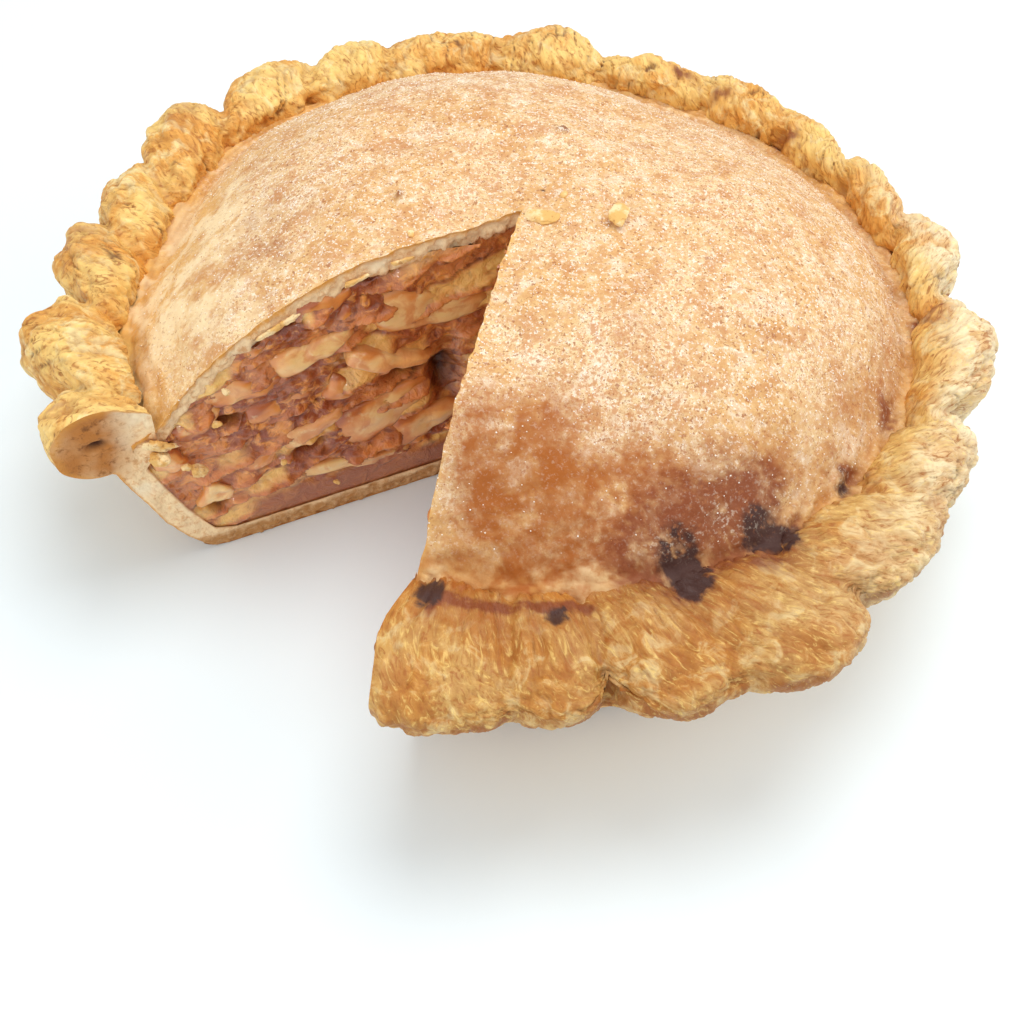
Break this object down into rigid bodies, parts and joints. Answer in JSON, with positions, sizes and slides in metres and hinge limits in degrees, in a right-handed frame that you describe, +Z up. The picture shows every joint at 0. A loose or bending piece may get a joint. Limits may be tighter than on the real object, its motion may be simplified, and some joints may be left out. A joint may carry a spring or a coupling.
{
  "type": "apple pie",
  "caption": "Domed double-crust apple pie with a thick fluted rim and a cinnamon-sugar lid, cut open so that its caramel apple filling shows.",
  "frame": {"origin": "middle of the pie's footprint, on the flat underside of the bottom crust", "axes": "+Z up through the dome; +Y to the pie's uncut back; the missing slice faces -Y and -X"},
  "size_m": [0.2623, 0.2625, 0.0959],
  "materials": {
    "baked_crust": "golden-brown flaky baked dough, darker in the creases and pale where it is cut",
    "caramel_filling": "wet red-brown caramel gel with pale yellow apple slices",
    "sugared_lid": "pale golden-tan baked dough dusted with cinnamon and sugar, toasted amber at the front"
  },
  "bodies": {
    "root": {"bottom_crust": "baked_crust", "filling": "caramel_filling", "top_crust": "sugared_lid"}
  },
  "joints": []
}
